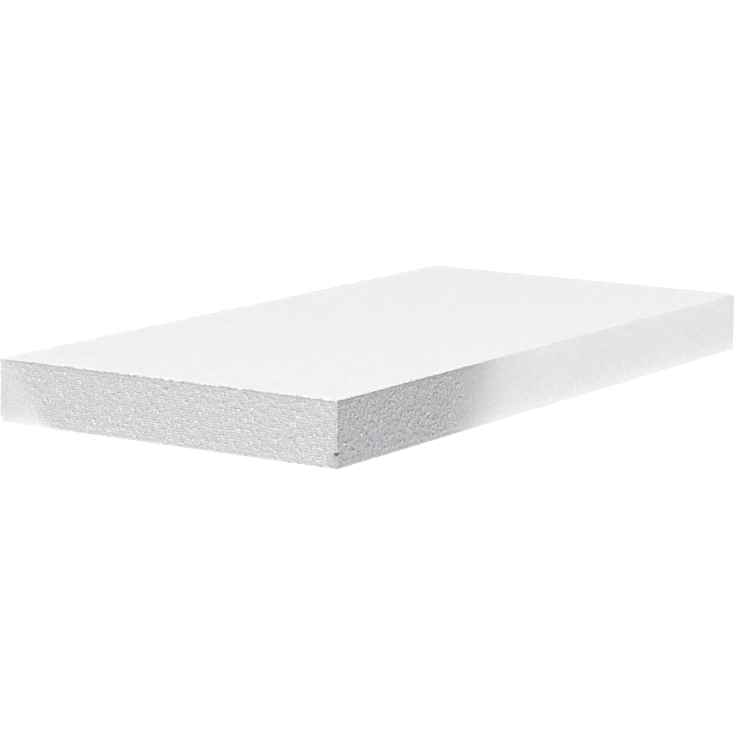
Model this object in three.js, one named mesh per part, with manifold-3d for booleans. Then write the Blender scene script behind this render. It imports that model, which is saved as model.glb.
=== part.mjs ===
// Insulation board of expanded polystyrene (EPS): one plain square-edged slab, hot-wire cut from a
// block of fused beads, with the small knocks that its corners have picked up.
// Millimetres, +Z up. The board lies flat: length along X, width along Y, thickness along Z.
// The origin is the middle of the underside.

import * as THREE from "three";
import { RoundedBoxGeometry } from "three/addons/geometries/RoundedBoxGeometry.js";
import { mergeVertices } from "three/addons/utils/BufferGeometryUtils.js";
import Module from "manifold-3d";

// Slab
const LENGTH = 1000;
const WIDTH = 500;
const THICKNESS = 80;
const ARRIS_RADIUS = 1; // the wire leaves the edges square, and the beads soften them this much
const ARRIS_STEPS = 2; // facets in each half of an arris

// Flake gone from the foot of the front left upright arris: a ledge at its top, tapering out downwards
const FLAKE_HEIGHT = 18;
const FLAKE_LEDGE_REACH = 4.5;
const FLAKE_FOOT_REACH = 1.3;
const FLAKE_RUN_OUT = 2; // the cut runs on below the underside
const FLAKE_SIDES = 10;

// Dent in the front right upright arris: shallow, and longer than it is wide
const DENT_DROP = 25; // from the top face to the middle of the dent
const DENT_DEPTH = 1.8; // into each of the two faces
const DENT_RADIUS = 5;
const DENT_LENGTH = 16;
const DENT_SIDES = 12;

// Crushed corner at the front right of the top face: how far it has worn back along each arris
const CRUSH_LENGTH_REACH = 5;
const CRUSH_WIDTH_REACH = 7;
const CRUSH_DROP = 9;

// The upright arrises, seen from above with the front at the bottom
const FRONT_LEFT = new THREE.Vector2(-LENGTH / 2, -WIDTH / 2);
const FRONT_RIGHT = new THREE.Vector2(LENGTH / 2, -WIDTH / 2);

const wasm = await Module();
wasm.setup();

// A closed three.js geometry as a solid that can be cut
function solidOf(geometry) {
  const bare = geometry.clone().deleteAttribute("normal").deleteAttribute("uv");
  const merged = mergeVertices(bare, 1e-4);
  return new wasm.Manifold(
    new wasm.Mesh({
      numProp: 3,
      vertProperties: merged.attributes.position.array,
      triVerts: new Uint32Array(merged.index.array),
    }),
  );
}

// A solid's surface as a three.js geometry
function geometryOf(solid) {
  const { vertProperties, triVerts } = solid.getMesh();
  const geometry = new THREE.BufferGeometry();
  geometry.setAttribute("position", new THREE.BufferAttribute(vertProperties, 3));
  geometry.setIndex(new THREE.BufferAttribute(triVerts, 1));
  const flat = geometry.toNonIndexed();
  flat.computeVertexNormals();
  return flat;
}

function slab() {
  return new RoundedBoxGeometry(LENGTH, WIDTH, THICKNESS, ARRIS_STEPS, ARRIS_RADIUS)
    .translate(0, 0, THICKNESS / 2);
}

// A tapered plug on the arris: the wide end is the ledge, and the narrow end is under the foot
function flake() {
  const height = FLAKE_HEIGHT + FLAKE_RUN_OUT;
  return new THREE.CylinderGeometry(FLAKE_LEDGE_REACH, FLAKE_FOOT_REACH, height, FLAKE_SIDES)
    .rotateX(Math.PI / 2)
    .translate(FRONT_LEFT.x, FRONT_LEFT.y, FLAKE_HEIGHT - height / 2);
}

// A long ball that stands off the arris, so that only DENT_DEPTH of it is in each face
function dent() {
  const standOff = DENT_RADIUS - DENT_DEPTH;
  return new THREE.SphereGeometry(1, DENT_SIDES, DENT_SIDES)
    .scale(DENT_RADIUS, DENT_LENGTH / 2, DENT_RADIUS)
    .rotateX(Math.PI / 2)
    .translate(FRONT_RIGHT.x + standOff, FRONT_RIGHT.y - standOff, THICKNESS - DENT_DROP);
}

// An octahedron on the corner: its face crosses the three arrises at the three reaches
function crushedCorner() {
  return new THREE.OctahedronGeometry(1)
    .scale(CRUSH_LENGTH_REACH, CRUSH_WIDTH_REACH, CRUSH_DROP)
    .translate(FRONT_RIGHT.x, FRONT_RIGHT.y, THICKNESS);
}

function epsBoard() {
  const knocks = [flake(), dent(), crushedCorner()];
  const solid = knocks.reduce((left, knock) => left.subtract(solidOf(knock)), solidOf(slab()));
  const foam = new THREE.MeshStandardMaterial({ color: 0xf0f1f2, roughness: 0.8, metalness: 0 });
  const mesh = new THREE.Mesh(geometryOf(solid), foam);
  mesh.name = "eps_board";
  return mesh;
}

const board = new THREE.Group();
board.add(epsBoard());

export default board;
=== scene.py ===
# Looks of the EPS insulation board: one slab of fused foam beads, cut square with a hot wire.
# Metres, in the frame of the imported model: length along X, width along Y, thickness along Z,
# with the underside at Z = 0. The front is the -Y side.

from math import atan, cos, pi, radians, sin

import bpy
import numpy as np
from mathutils import Matrix, Vector
from mathutils.geometry import delaunay_2d_cdt


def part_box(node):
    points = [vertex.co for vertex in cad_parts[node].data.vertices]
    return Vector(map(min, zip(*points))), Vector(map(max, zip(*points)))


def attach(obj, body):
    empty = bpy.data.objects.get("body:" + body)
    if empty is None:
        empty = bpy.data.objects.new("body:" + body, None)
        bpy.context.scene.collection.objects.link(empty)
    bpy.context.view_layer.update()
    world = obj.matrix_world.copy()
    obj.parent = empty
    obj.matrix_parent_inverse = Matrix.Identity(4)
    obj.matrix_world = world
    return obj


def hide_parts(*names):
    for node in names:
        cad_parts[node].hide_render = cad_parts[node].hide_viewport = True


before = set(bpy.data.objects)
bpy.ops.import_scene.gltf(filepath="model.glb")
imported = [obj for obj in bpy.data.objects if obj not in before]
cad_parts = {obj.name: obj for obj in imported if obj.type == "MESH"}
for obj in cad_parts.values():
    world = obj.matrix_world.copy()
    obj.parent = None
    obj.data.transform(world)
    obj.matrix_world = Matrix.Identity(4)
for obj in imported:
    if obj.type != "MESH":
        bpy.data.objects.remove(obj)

MM = 0.001

# Beads, as they show on a cut face. A sink is how far a point lies below the plain face.
BEAD = 3.7 * MM  # from the middle of one bead to the next
BEAD_JITTER = 0.33  # how far a bead may stray from an even grid, as a share of BEAD
BEAD_CLEARANCE = 0.4 * BEAD  # from the rim to the middle of the nearest bead
CROWN_SINK = (0.02 * MM, 0.25 * MM)  # middle of a bead
JOINT_SINK = (0.50 * MM, 1.00 * MM)  # where three beads meet
PIT_SHARE = 0.28
PIT_SINK = (1.10 * MM, 1.60 * MM)  # a joint that stayed open
TORN_SHARE = 0.02
TORN_SINK = (0.70 * MM, 1.20 * MM)  # a bead that the wire tore

# Arrises: each has its own line of points, and a rim of points beside it on both faces
ARRIS_JITTER = 0.12  # as a share of BEAD
RIM = 1.6 * MM  # from the arris
RIM_BEAD_SINK = (0.03 * MM, 0.20 * MM)
RIM_JOINT_SINK = (0.20 * MM, 0.50 * MM)
RIM_SHARE = 0.7  # the joints beside the rim keep this share of their depth
ARRIS_BEAD_SINK = (0.02 * MM, 0.20 * MM)
ARRIS_JOINT_SINK = (0.20 * MM, 0.80 * MM)
ARRIS_CHIP_SHARE = 0.14
ARRIS_CHIP_SINK = (0.75 * MM, 1.25 * MM)
CORNER_SINK = 0.25 * MM
FOOT_SHARE = 0.5  # the arrises at the foot have worn back less; their points all take the groove colour, a painted contact shadow that shows as a darker line
SHARP_ANGLE = radians(62)

# Top and underside: smoother, with beads modelled in a band along the rim, and a finish inside it
LARGE_SHARE = 0.45  # of the depth of the relief on the other sides
BAND = 9 * MM
WIDE_SPACING = 9 * MM
WIDE_SINK = (0.24 * MM, 0.36 * MM)

# Knocks, at the sizes of the solid model
FLAKE_HEIGHT = 18 * MM
FLAKE_LEDGE_REACH = 4.5 * MM
FLAKE_FOOT_REACH = 1.5 * MM  # at the underside
DENT_DROP = 25 * MM
DENT_DEPTH = 1.8 * MM
DENT_RADIUS = 5 * MM
DENT_LENGTH = 16 * MM
CRUSH_LENGTH_REACH = 5 * MM
CRUSH_WIDTH_REACH = 7 * MM
CRUSH_DROP = 9 * MM
KNOCK_SPACING = 1.9 * MM  # points lie closer around a knock
KNOCK_MARGIN = 4 * MM
BACK_FACE = (1, 1)  # the one face that no knock touches

# Foam, as it is coloured and finished, with painted shade in its grooves and in the flake's hollow
BEAD_DARK = (0.86, 0.865, 0.88, 1)
BEAD_LIGHT = (0.96, 0.965, 0.97, 1)
# Groove colour: partly the joints' own darker tint, partly painted shade in the creases between
# beads
GROOVE_COLOUR = (0.80, 0.81, 0.83, 1)
GROOVE_START = 0.62  # where a modelled groove starts, from 0 at a bead's middle to 1 at a joint
DRAWN_GROOVE = 0.22  # half the width of a drawn groove, as a share of BEAD
GROOVE_TINT_AND_SHADE = 0.6  # share of GROOVE_COLOUR in the grooves: partly the joints' own darker tint, partly painted shade in the creases
HOLLOW_SHADE_COLOUR = (0.57, 0.58, 0.60, 1)  # painted shade where the flake has gone
ROUGHNESS = (0.62, 0.85)
SPECULAR = 0.2
GRAIN_SCALE = 700  # grains in a metre
LUMP_SCALE = 260
LUMP_RANGE = (0.3, 0.7)  # of the noise, over which the roughness goes from its low to its high
GROOVE_HEIGHT = -0.22  # bump, in millimetres
LUMP_HEIGHT = 0.10
GRAIN_HEIGHT = 0.16

# Camera, from the edges of the board in the photograph
CAMERA_TARGET = Vector((-0.463870, -0.267890, 0.114380))
CAMERA_DISTANCE = 3.396978
CAMERA_AZIMUTH = radians(-56.490)
CAMERA_ELEVATION = radians(9.990)
CAMERA_ROLL = radians(0.277)
CAMERA_LENS = 145.617
CAMERA_SENSOR = 36
CAMERA_CLIP_END = 200

# Floor: the one that shows is pure white, and a grey one just under it lights the board from below
FLOOR_RADIUS = 60
FLOOR_GLOW = 1.05
BOUNCE_COLOUR = (0.135, 0.15, 0.195)
BOUNCE_DROP = 0.2 * MM

# Light: a weak sky, one key for the whole board, a low back light for the two sides that the key
# doesn't reach, and a flat beam from straight in front for each of two zones, where a net keeps the
# key off. A zone starts at a soft edge that leans outwards as it rises. Ways point at the lights.
SKY_COLOUR = (0.98, 0.975, 1.0)
SKY_STRENGTH = 0.13
KEY_WAY = Vector((-0.545, -0.350, 0.762))
KEY_DISTANCE = 36
KEY_SIZE = 4.8
KEY_POWER = 14750
KEY_COLOUR = (1.0, 0.985, 0.95)
BACK_WAY = Vector((0.752, 0.648, 0.120))
BACK_ANGLE = radians(8)
BACK_STRENGTH = 1.55
BACK_COLOUR = (1.0, 0.985, 0.96)
NET_HEIGHT = 100 * MM
RIGHT_ZONE_START = -180 * MM  # along X on the front
RIGHT_ZONE_BLUR = 105 * MM
RIGHT_ZONE_LEAN = 0.5
RIGHT_ZONE_REACH = 820 * MM
RIGHT_ZONE_POWER = 2.42  # watts for each square metre of the beam
LEFT_ZONE_START = 216 * MM  # along Y on the left end
LEFT_ZONE_BLUR = 25 * MM
LEFT_ZONE_LEAN = 0.85
LEFT_ZONE_REACH = 180 * MM
LEFT_ZONE_POWER = 2.24
BEAM_DISTANCE = 4.4
BEAM_COLOUR = (1.0, 0.98, 0.935)
FLAG_DISTANCE = 150 * MM
FLAG_HEIGHT = 40 * MM

rng = np.random.default_rng(7)
box_low, box_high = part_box("eps_board")
half = np.array((box_high - box_low) / 2)
middle = np.array((box_high + box_low) / 2)
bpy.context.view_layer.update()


def spread(low_high, count):
    """Random sizes between a low and a high one."""
    return rng.uniform(low_high[0], low_high[1], count)


def some(share, count):
    """True for a random share of the count."""
    return rng.random(count) < share


# Surface

class Skin:
    """The closed surface of the board while it is made."""

    def __init__(self):
        self.count = 0
        self.places = []  # on the plain box, with its middle at the origin
        self.sinks = []  # how far below the box's faces, along x, y and z
        self.seams = []  # 0 at the middle of a bead and 1 at a joint; 1 all along the foot arrises, which paints a contact shadow there
        self.fans = []  # 1 where beads are modelled and 0 where they are a finish
        self.triangles = []

    def add(self, places, sinks, seams, fans):
        """Adds points and returns their numbers."""
        numbers = np.arange(self.count, self.count + len(places))
        self.count += len(places)
        self.places.append(places)
        self.sinks.append(sinks)
        self.seams.append(np.broadcast_to(seams, len(places)))
        self.fans.append(np.broadcast_to(fans, len(places)))
        return numbers

    def all_places(self):
        """Every point so far, on the plain box."""
        return np.concatenate(self.places)

    def points(self):
        """Where the points are, once they have sunk below the faces of the box."""
        places = self.all_places()
        inward = -np.sign(places) * np.concatenate(self.sinks)
        return places + inward + middle


def arris_marks(length):
    """Places along an arris, in turn at the middle of a bead and at a joint."""
    count = 2 * round(length / BEAD)
    marks = np.linspace(-length / 2, length / 2, count + 1)[1:-1]
    return marks + rng.uniform(-ARRIS_JITTER, ARRIS_JITTER, len(marks)) * BEAD


def arris_sinks(count):
    """How far an arris has worn into one of its two faces, point by point."""
    beads = np.arange(count) % 2 == 0
    sinks = np.where(beads, spread(ARRIS_BEAD_SINK, count), spread(ARRIS_JOINT_SINK, count))
    return np.where(some(ARRIS_CHIP_SHARE, count), spread(ARRIS_CHIP_SINK, count), sinks)


def add_corner(skin, key):
    """One of the eight corners. A key holds the side, -1 or 1, along x, y and z."""
    return skin.add(np.array([key]) * half, np.full((1, 3), CORNER_SINK), 0.5, 1)


def add_arris(skin, key, corners):
    """One of the twelve arrises. Its key has 0 for the axis that it runs along."""
    along = key.index(0)
    marks = arris_marks(2 * half[along])
    places = np.tile(np.array(key) * half, (len(marks), 1))
    places[:, along] = marks
    sinks = np.zeros_like(places)
    foot = key[2] < 0
    for axis in range(3):
        if axis != along:
            sinks[:, axis] = arris_sinks(len(marks)) * (FOOT_SHARE if foot else 1)
    # At the foot every point takes seam 1, so the groove colour paints a contact shadow along the
    # foot arris
    line = skin.add(places, sinks, 1 if foot else np.arange(len(marks)) % 2, 1)
    ends = [corners[tuple(side if axis == along else key[axis] for axis in range(3))]
            for side in (-1, 1)]
    return np.concatenate([ends[0], line, ends[1]])


def outline(face, arrises):
    """The numbers of the arris points round a face, once round."""
    axis, side = face
    u, v = (axis + 1) % 3, (axis + 2) % 3
    loop = []
    for along, other, place in ((u, v, -1), (v, u, 1), (u, v, 1), (v, u, -1)):
        key = [0, 0, 0]
        key[axis] = side
        key[other] = place
        line = arrises[tuple(key)]
        forward = (along == u) == (place == -1)
        loop.append(line[:-1] if forward else line[:0:-1])
    return np.concatenate(loop)


def grid(reach_u, reach_v, spacing):
    """Points of a rough bead packing that fill a rectangle centred on the origin."""
    row_height = spacing * 3 ** 0.5 / 2
    rows = int(2 * reach_v / row_height)
    columns = int(2 * reach_u / spacing)
    v, u = np.meshgrid(np.arange(rows) + 0.5, np.arange(columns) + 0.5, indexing="ij")
    u = u + np.where(np.arange(rows) % 2, 0.25, -0.25)[:, None]
    points = np.stack([u / columns * 2 * reach_u - reach_u, v / rows * 2 * reach_v - reach_v], -1)
    points = points.reshape(-1, 2)
    return points + rng.uniform(-BEAD_JITTER, BEAD_JITTER, points.shape) * spacing


def triangulate(points):
    """Delaunay triangles of points in a plane."""
    found = delaunay_2d_cdt([Vector(point) for point in points], [], [], 0, 1e-9, False)
    return np.array(found[2])


def mates(triangles, count):
    """For each side of each triangle, the triangle across it, or -1."""
    starts = triangles.ravel()
    ends = np.roll(triangles, -1, axis=1).ravel()
    own = starts * count + ends
    other = ends * count + starts
    order = np.argsort(own)
    found = np.searchsorted(own[order], other).clip(max=len(own) - 1)
    match = order[found]
    return np.where(own[match] == other, match // 3, -1).reshape(-1, 3)


def bead_fans(triangles, joints, across):
    """Turns triangles between bead middles into fans, one round each bead.

    joints has the number of each triangle's own joint, or -1 where it stays whole. Each side of a
    split triangle gives one new triangle, from a bead to the joints on both sides of it.
    """
    made = [triangles[joints < 0]]
    for corner in range(3):
        start = triangles[:, corner]
        end = triangles[:, (corner + 1) % 3]
        mate = across[:, corner]
        mate_joint = np.where(mate >= 0, joints[mate], -1)
        shared = (joints >= 0) & (mate_joint >= 0)
        alone = (joints >= 0) & (mate_joint < 0)
        made.append(np.stack([start, mate_joint, joints], 1)[shared])
        made.append(np.stack([start, end, joints], 1)[alone])
    return np.concatenate(made)


def knock_places():
    """Middle and reach of the space round each knock, in the centred box."""
    front_left = half * (-1, -1, -1)
    front_right = half * (1, -1, 1)
    return [
        (front_left + (0, 0, FLAKE_HEIGHT / 2), FLAKE_HEIGHT / 2),
        (front_right - (0, 0, DENT_DROP), DENT_LENGTH / 2),
        (front_right, CRUSH_DROP),
    ]


def near_knock(places):
    """True for places that lie close to a knock."""
    close = np.zeros(len(places), bool)
    for centre, reach in knock_places():
        close |= np.linalg.norm(places - centre, axis=1) < reach + KNOCK_MARGIN
    return close


def relief(places):
    """Share of the full depth of the beads: less where the points lie closer together."""
    return np.where(near_knock(places), KNOCK_SPACING / BEAD, 1)


def face_seeds(face):
    """Middles of the beads inside a face's rim, closer together around the knocks."""
    axis, side = face
    u, v = (axis + 1) % 3, (axis + 2) % 3
    reach = half - RIM

    def placed(points):
        """Points of a flat grid, placed on the face, without those too close to its rim."""
        places = np.empty((len(points), 3))
        places[:, axis] = side * half[axis]
        places[:, u] = points[:, 0]
        places[:, v] = points[:, 1]
        clear = abs(places[:, [u, v]]) < reach[[u, v]] - BEAD_CLEARANCE
        return places[clear.all(1)]

    coarse = placed(grid(reach[u], reach[v], BEAD))
    if axis == 2:
        edge = (half - abs(coarse))[:, [u, v]].min(1)
        wide = placed(grid(reach[u], reach[v], WIDE_SPACING))
        wide_edge = (half - abs(wide))[:, [u, v]].min(1)
        coarse = np.concatenate([coarse[edge < BAND + BEAD], wide[wide_edge >= BAND + BEAD]])
    if face == BACK_FACE:
        return coarse
    fine = placed(grid(reach[u], reach[v], KNOCK_SPACING))
    return np.concatenate([coarse[~near_knock(coarse)], fine[near_knock(fine)]])


def add_face(skin, face, arrises):
    """One flat side: a strip along its arrises, a rim, and the beads inside the rim."""
    axis, side = face
    u, v = (axis + 1) % 3, (axis + 2) % 3
    loop = outline(face, arrises)
    places = skin.all_places()[loop]
    for flat in (u, v):
        places[:, flat] *= (half[flat] - RIM) / half[flat]

    def sunk(depths):
        """Depths below this face, as sinks along x, y and z."""
        sinks = np.zeros((len(depths), 3))
        sinks[:, axis] = depths
        return sinks

    rim_seams = np.concatenate(skin.seams)[loop]
    rim_depths = np.where(rim_seams == 1, spread(RIM_JOINT_SINK, len(loop)),
                          spread(RIM_BEAD_SINK, len(loop)))
    rim = skin.add(places, sunk(rim_depths), rim_seams, 1)
    after_loop, after_rim = np.roll(loop, -1), np.roll(rim, -1)
    strip = np.concatenate([np.stack([loop, after_loop, after_rim], 1),
                            np.stack([loop, after_rim, rim], 1)])

    seeds = face_seeds(face)
    seed_depths = spread(CROWN_SINK, len(seeds))
    torn = some(TORN_SHARE, len(seeds))
    seed_depths[torn] = spread(TORN_SINK, torn.sum())
    seed_depths *= relief(seeds)
    large = axis == 2
    seed_edge = (half - abs(seeds))[:, [u, v]].min(1)
    seed_fans = np.where(large & (seed_edge > BAND), 0, 1)
    if large:
        seed_depths = np.where(seed_fans, seed_depths * LARGE_SHARE,
                               spread(WIDE_SINK, len(seeds)))
    middles = skin.add(seeds, sunk(seed_depths), 0, seed_fans)
    numbers = np.concatenate([rim, middles])
    flat_points = np.concatenate([places, seeds])
    triangles = triangulate(flat_points[:, [u, v]])

    centres = flat_points[triangles].mean(1)
    edge = (half - abs(centres))[:, [u, v]].min(1)
    split = edge < BAND if large else np.ones(len(triangles), bool)
    joint_depths = spread(JOINT_SINK, split.sum())
    pits = some(PIT_SHARE, split.sum())
    joint_depths[pits] = spread(PIT_SINK, pits.sum())
    joint_depths *= relief(centres[split]) * ((edge[split] - RIM) / BEAD).clip(RIM_SHARE, 1)
    if large:
        joint_depths *= LARGE_SHARE
    joints = np.full(len(triangles), -1)
    across = mates(triangles, len(flat_points))
    joints[split] = skin.add(centres[split], sunk(joint_depths), 1, 1)
    fans = bead_fans(numbers[triangles], joints, across)
    made = np.concatenate([strip, fans])
    skin.triangles.append(made if side > 0 else made[:, ::-1])


# Knocks

def knock_flake(points):
    """Wraps the foot of the front left upright arris round a tapered hollow, open at the foot.

    Returns True for the points of the hollow.
    """
    corner = middle - half
    inset = points - corner
    reach = FLAKE_FOOT_REACH + (FLAKE_LEDGE_REACH - FLAKE_FOOT_REACH) * inset[:, 2] / FLAKE_HEIGHT
    from_arris = inset[:, :2].max(1)
    inside = (inset[:, 2] < FLAKE_HEIGHT) & (from_arris < reach)
    side = np.where(inset[:, 0] > inset[:, 1], -1, 1)
    angle = np.pi / 4 * (1 + side * from_arris / reach)
    deep = np.minimum(inset[:, 0], inset[:, 1])
    hollow = np.stack([np.cos(angle), np.sin(angle)], 1) * (reach + deep)[:, None]
    points[inside, :2] = corner[:2] + hollow[inside]
    return inside


def knock_dent(points):
    """Presses the front right upright arris in, as a long ball would."""
    corner = middle + half * (1, -1, 1)
    stand_off = DENT_RADIUS - DENT_DEPTH
    ball = corner + (stand_off, -stand_off, -DENT_DROP)
    radii = np.array([DENT_RADIUS, DENT_RADIUS, DENT_LENGTH / 2])
    inward = np.array([-1, 1, 0]) / 2 ** 0.5
    offset = (points - ball) / radii
    step = inward / radii
    b = offset @ step
    c = (offset ** 2).sum(1) - 1
    inside = c < 0
    a = step @ step
    way = (-b[inside] + np.sqrt(b[inside] ** 2 - a * c[inside])) / a
    points[inside] += way[:, None] * inward


def knock_corner(points):
    """Crushes the front right corner of the top face down to a slope."""
    corner = middle + half * (1, -1, 1)
    slope = np.array([-1 / CRUSH_LENGTH_REACH, 1 / CRUSH_WIDTH_REACH, -1 / CRUSH_DROP])
    level = (points - corner) @ slope
    inside = level < 1
    points[inside] += ((1 - level[inside]) / (slope @ slope))[:, None] * slope


def add_values(mesh, name, values):
    """Keeps one value for each point, where a material can read it."""
    layer = mesh.attributes.new(name, "FLOAT", "POINT")
    layer.data.foreach_set("value", np.asarray(values, np.float32))


def board_mesh():
    """The whole board as one closed mesh."""
    skin = Skin()
    sides = (-1, 1)
    corners = {}
    for key in [(x, y, z) for x in sides for y in sides for z in sides]:
        corners[key] = add_corner(skin, key)
    arrises = {}
    for along in range(3):
        for first in sides:
            for second in sides:
                key = [first, second]
                key.insert(along, 0)
                arrises[tuple(key)] = add_arris(skin, tuple(key), corners)
    for face in [(axis, side) for axis in range(3) for side in sides]:
        add_face(skin, face, arrises)

    points = skin.points()
    hollow = knock_flake(points)
    knock_dent(points)
    knock_corner(points)
    mesh = bpy.data.meshes.new("eps_foam_board")
    mesh.from_pydata(points.tolist(), [], np.concatenate(skin.triangles).tolist())
    add_values(mesh, "seam", np.concatenate(skin.seams))
    add_values(mesh, "fan", np.concatenate(skin.fans))
    add_values(mesh, "hollow", hollow)
    add_values(mesh, "tone", rng.random(skin.count))
    mesh.shade_smooth()
    mesh.set_sharp_from_angle(angle=SHARP_ANGLE)
    return mesh


# Materials

class Nodes:
    """Short ways to add and join the nodes of one material."""

    def __init__(self, name):
        self.material = bpy.data.materials.new(name)
        self.material.use_nodes = True
        self.tree = self.material.node_tree
        self.shader = self.tree.nodes["Principled BSDF"]
        self.output = self.tree.nodes["Material Output"]

    def add(self, kind, inputs=(), **settings):
        """A node, with its settings and its inputs: each a value or another node's socket."""
        node = self.tree.nodes.new(kind)
        for name, value in settings.items():
            setattr(node, name, value)
        for name, value in dict(inputs).items():
            self.put(node.inputs[name], value)
        return node

    def put(self, socket, value):
        """Links another node's socket, or sets a value."""
        if isinstance(value, bpy.types.NodeSocket):
            self.tree.links.new(value, socket)
        else:
            socket.default_value = value

    def math(self, operation, first, second=0.0):
        return self.add("ShaderNodeMath", {0: first, 1: second}, operation=operation).outputs[0]

    def stretch(self, value, low, high, to_low=0.0, to_high=1.0):
        """A value mapped smoothly from one range to another, and held at its ends."""
        inputs = {"Value": value, "From Min": low, "From Max": high, "To Min": to_low,
                  "To Max": to_high}
        node = self.add("ShaderNodeMapRange", inputs, interpolation_type="SMOOTHSTEP")
        return node.outputs["Result"]

    def attribute(self, name):
        node = self.add("ShaderNodeAttribute", attribute_name=name)
        return node.outputs["Fac"]

    def noise(self, place, scale):
        inputs = {"Vector": place, "Scale": scale, "Detail": 2.0}
        return self.add("ShaderNodeTexNoise", inputs).outputs["Fac"]

    def mix(self, share, first, second):
        """A colour between two others."""
        node = self.add("ShaderNodeMix", {0: share, 6: first, 7: second}, data_type="RGBA")
        return node.outputs[2]


def foam_material():
    """White foam: beads of slightly different tone, darker grooves that are partly their own tint
    and partly painted shade, painted shade in the flake's hollow, and grain on each bead.

    The grooves and tones come from the mesh where its beads are modelled, and are drawn elsewhere.
    """
    n = Nodes("eps_foam")
    place = n.add("ShaderNodeTexCoord").outputs["Object"]
    seam = n.attribute("seam")
    fan = n.attribute("fan")
    beads = {"Vector": place, "Scale": 1 / BEAD}
    drawn_tone = n.add("ShaderNodeTexVoronoi", beads).outputs["Color"]
    tone = n.mix(fan, drawn_tone, n.attribute("tone"))

    from_edge = n.add("ShaderNodeTexVoronoi", beads, feature="DISTANCE_TO_EDGE").outputs["Distance"]
    drawn_groove = n.stretch(from_edge, 0.0, DRAWN_GROOVE, 1.0, 0.0)
    drawn = n.math("MULTIPLY", drawn_groove, n.math("SUBTRACT", 1.0, fan))
    modelled = n.math("MULTIPLY", n.stretch(seam, GROOVE_START, 1.0), fan)
    grooves = n.math("ADD", drawn, modelled)
    grain = n.noise(place, GRAIN_SCALE)
    lumps = n.noise(place, LUMP_SCALE)

    colour = n.mix(tone, BEAD_DARK, BEAD_LIGHT)
    # Darker grooves: partly the joints' own tint, partly painted shade in the creases
    colour = n.mix(n.math("MULTIPLY", grooves, GROOVE_TINT_AND_SHADE), colour, GROOVE_COLOUR)
    # Painted shade in the flake's hollow
    colour = n.mix(n.attribute("hollow"), colour, HOLLOW_SHADE_COLOUR)
    n.put(n.shader.inputs["Base Color"], colour)
    n.put(n.shader.inputs["Roughness"], n.stretch(lumps, *LUMP_RANGE, *ROUGHNESS))
    n.shader.inputs["Specular IOR Level"].default_value = SPECULAR

    height = n.math("MULTIPLY", grooves, GROOVE_HEIGHT)
    height = n.math("ADD", height, n.math("MULTIPLY", lumps, LUMP_HEIGHT))
    height = n.math("ADD", height, n.math("MULTIPLY", grain, GRAIN_HEIGHT))
    bump = n.add("ShaderNodeBump", {"Height": height, "Distance": MM, "Strength": 1.0})
    n.put(n.shader.inputs["Normal"], bump.outputs["Normal"])
    return n.material


def floor_material(name, colour, glow):
    """A matt floor, with a white glow that may be 0."""
    n = Nodes(name)
    n.shader.inputs["Base Color"].default_value = (*colour, 1)
    n.shader.inputs["Emission Color"].default_value = (1, 1, 1, 1)
    n.shader.inputs["Emission Strength"].default_value = glow
    n.shader.inputs["Roughness"].default_value = 0.9
    n.shader.inputs["Specular IOR Level"].default_value = 0.0
    return n.material


# Pieces

def add_object(name, data):
    """An object for a mesh, a light or a camera."""
    made = bpy.data.objects.new(name, data)
    bpy.context.scene.collection.objects.link(made)
    return made


def add_board():
    """The foam board, which replaces the plain solid."""
    board = add_object("eps_foam_board", board_mesh())
    board.data.materials.append(foam_material())
    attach(board, "root")
    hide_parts("eps_board")


def add_floor(name, height, material):
    """A wide level floor."""
    mesh = bpy.data.meshes.new(name)
    r = FLOOR_RADIUS
    mesh.from_pydata([(-r, -r, height), (r, -r, height), (r, r, height), (-r, r, height)], [],
                     [(0, 1, 2, 3)])
    floor = add_object(name, mesh)
    mesh.materials.append(material)
    return floor


def add_floors():
    """The floor that shows, and the one that lights the board from below."""
    shown = add_floor("floor", 0, floor_material("floor", (0, 0, 0), FLOOR_GLOW))
    for kind in ("diffuse", "glossy", "transmission", "shadow"):
        setattr(shown, "visible_" + kind, False)
    bounce_material = floor_material("floor_bounce", BOUNCE_COLOUR, 0)
    bounce = add_floor("floor_bounce", -BOUNCE_DROP, bounce_material)
    bounce.visible_camera = False


# Light and camera

def add_sky():
    """Even light from all sides."""
    world = bpy.data.worlds.new("studio")
    world.use_nodes = True
    background = world.node_tree.nodes["Background"]
    background.inputs["Color"].default_value = (*SKY_COLOUR, 1)
    background.inputs["Strength"].default_value = SKY_STRENGTH
    bpy.context.scene.world = world


def add_softbox(name, place, aim, width, height, power, colour, spread_angle=pi, turn=0):
    """A rectangular light that faces a point, and that the camera doesn't see."""
    light = bpy.data.lights.new(name, "AREA")
    light.shape = "RECTANGLE"
    light.size = width
    light.size_y = height
    light.energy = power
    light.color = colour
    light.spread = spread_angle
    lamp = add_object(name, light)
    lamp.location = place
    facing = (Vector(aim) - Vector(place)).to_track_quat("-Z", "Y").to_matrix()
    lamp.rotation_euler = (facing @ Matrix.Rotation(turn, 3, "Z")).to_euler()
    lamp.visible_camera = False


def add_back_light():
    """Low light from behind, with no glare over the top."""
    light = bpy.data.lights.new("back", "SUN")
    light.energy = BACK_STRENGTH
    light.color = BACK_COLOUR
    light.angle = BACK_ANGLE
    lamp = add_object("back", light)
    lamp.rotation_euler = BACK_WAY.to_track_quat("Z", "Y").to_euler()
    lamp.visible_glossy = False


def net_material(name):
    """Lets all light through where the shade is 0, and none where it is 1."""
    n = Nodes(name)
    n.tree.nodes.remove(n.shader)
    clear = n.add("ShaderNodeBsdfTransparent").outputs[0]
    dark = n.add("ShaderNodeBsdfDiffuse", {"Color": (0, 0, 0, 1)}).outputs[0]
    share = n.stretch(n.attribute("shade"), 0.0, 1.0)
    net = n.add("ShaderNodeMixShader", {0: share, 1: clear, 2: dark}).outputs[0]
    n.put(n.output.inputs["Surface"], net)
    return n.material


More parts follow.
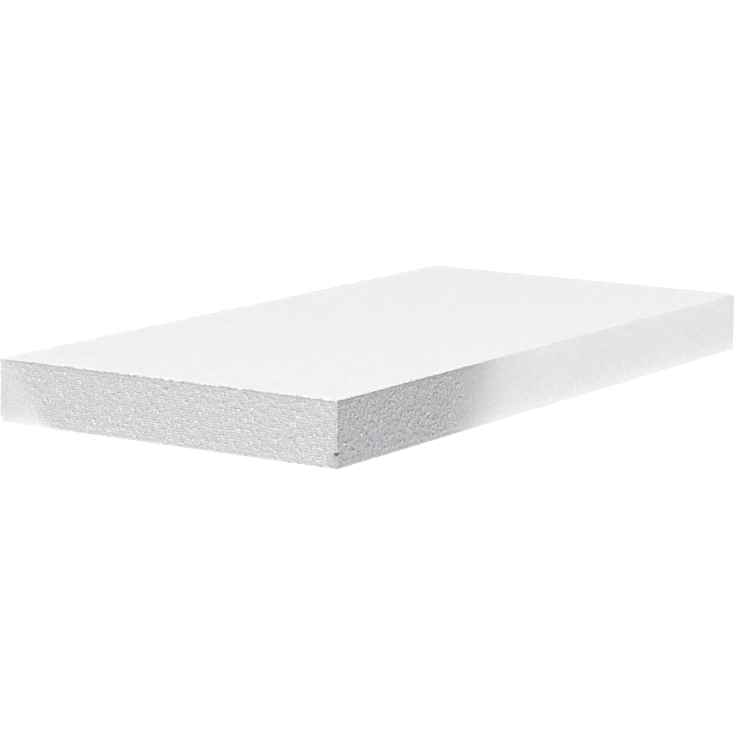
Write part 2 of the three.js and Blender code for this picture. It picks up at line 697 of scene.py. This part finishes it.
def add_screen(name, corners, shades):
    """A card that only stops light: all of it where the shade of its four corners is 1."""
    mesh = bpy.data.meshes.new(name)
    mesh.from_pydata([tuple(corner) for corner in corners], [], [(0, 1, 2, 3)])
    add_values(mesh, "shade", shades)
    mesh.materials.append(net_material(name))
    screen = add_object(name, mesh)
    for kind in ("camera", "diffuse", "glossy", "transmission"):
        setattr(screen, "visible_" + kind, False)


def add_zone(name, side, out, start, blur, slant, reach, power):
    """Flat light on an upright side, from a slanting soft edge on, along the way `out`.

    A net keeps the key off, a beam replaces it, and a flag keeps the beam off the top.
    """
    up = Vector((0, 0, 1))
    top = 2 * half[2]
    corners = []
    shades = []
    for along, height in ((-blur, 0), (-blur, top), (reach, top), (reach, 0)):
        lean = slant * (height - half[2])
        corner = side + out * (start + lean + along) + up * height
        corners.append(corner + KEY_WAY * (NET_HEIGHT - height) / KEY_WAY.z)
        shades.append((along + blur) / (2 * blur))
    add_screen(name + "_net", corners, shades)

    turn = atan(slant)
    beam_width = reach * cos(turn)
    beam_height = reach * sin(turn) + 2 * top + 2 * blur
    aim = side + out * (start + reach / 2) + up * half[2]
    front = side.normalized()
    place = aim + front * BEAM_DISTANCE + up * blur
    mirrored = up.cross(side).dot(out) > 0
    add_softbox(name + "_beam", place, aim, beam_width, beam_height,
                power * beam_width * beam_height, BEAM_COLOUR,
                2 * atan(blur / BEAM_DISTANCE), -turn if mirrored else turn)

    foot = top + blur * FLAG_DISTANCE / BEAM_DISTANCE
    head = foot + FLAG_HEIGHT
    near = -reach / 4
    corners = [side + front * FLAG_DISTANCE + out * (start + along) + up * height
               for along, height in ((near, foot), (near, head), (reach, head), (reach, foot))]
    add_screen(name + "_flag", corners, (1, 1, 1, 1))


def add_lights():
    """All the light, with the two zones on the front and on the left end."""
    add_sky()
    add_softbox("key", KEY_WAY * KEY_DISTANCE, (0, 0, 0), KEY_SIZE, KEY_SIZE, KEY_POWER, KEY_COLOUR)
    add_back_light()
    front = Vector((0, -half[1], 0))
    left = Vector((-half[0], 0, 0))
    add_zone("right", front, Vector((1, 0, 0)), RIGHT_ZONE_START, RIGHT_ZONE_BLUR,
             RIGHT_ZONE_LEAN, RIGHT_ZONE_REACH, RIGHT_ZONE_POWER)
    add_zone("left", left, Vector((0, 1, 0)), LEFT_ZONE_START, LEFT_ZONE_BLUR,
             LEFT_ZONE_LEAN, LEFT_ZONE_REACH, LEFT_ZONE_POWER)


def add_camera():
    """The camera, at the photograph's angle and distance."""
    back = Vector((sin(CAMERA_AZIMUTH) * cos(CAMERA_ELEVATION),
                   -cos(CAMERA_AZIMUTH) * cos(CAMERA_ELEVATION),
                   sin(CAMERA_ELEVATION)))
    data = bpy.data.cameras.new("camera")
    data.lens = CAMERA_LENS
    data.sensor_width = CAMERA_SENSOR
    data.clip_end = CAMERA_CLIP_END
    camera = add_object("camera", data)
    turn = (-back).to_track_quat("-Z", "Y").to_matrix() @ Matrix.Rotation(CAMERA_ROLL, 3, "Z")
    camera.matrix_world = Matrix.Translation(CAMERA_TARGET + back * CAMERA_DISTANCE) @ turn.to_4x4()
    bpy.context.scene.camera = camera


add_camera()
add_board()
add_floors()
add_lights()
bpy.context.scene.view_settings.view_transform = "Standard"
